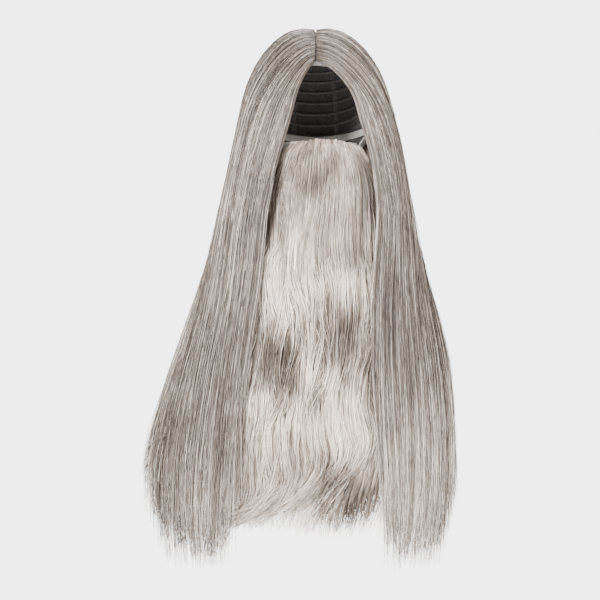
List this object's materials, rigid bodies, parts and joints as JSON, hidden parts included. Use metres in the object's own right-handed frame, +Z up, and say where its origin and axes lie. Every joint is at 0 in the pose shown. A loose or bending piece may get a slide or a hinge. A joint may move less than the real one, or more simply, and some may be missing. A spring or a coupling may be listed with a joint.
{
  "type": "wig and beard set",
  "caption": "Long straight centre-parted wig on a cap, with a long full beard and moustache on an elastic, kept in their worn form.",
  "frame": {"origin": "crown of the head, on the inside of the cap", "axes": "+Z up along the wearer's height, -Y the way the face looks, +X the wearer's left"},
  "size_m": [0.394, 0.283, 0.7075],
  "materials": {
    "wig_hair": "silky straight synthetic fibre, light and dark grey strands mixed",
    "beard_hair": "silky slightly waved synthetic fibre, pale warm grey",
    "cap_net": "matt stretch net with sewn rows of hair",
    "backing_felt": "matt felt",
    "elastic": "matt ribbed elastic"
  },
  "bodies": {
    "root": {"wig_cap": "cap_net", "side_hair_left": "wig_hair", "side_hair_right": "wig_hair", "back_hair": "wig_hair", "beard": "beard_hair", "moustache": "beard_hair", "beard_backing": "backing_felt", "beard_strap": "elastic"}
  },
  "joints": []
}
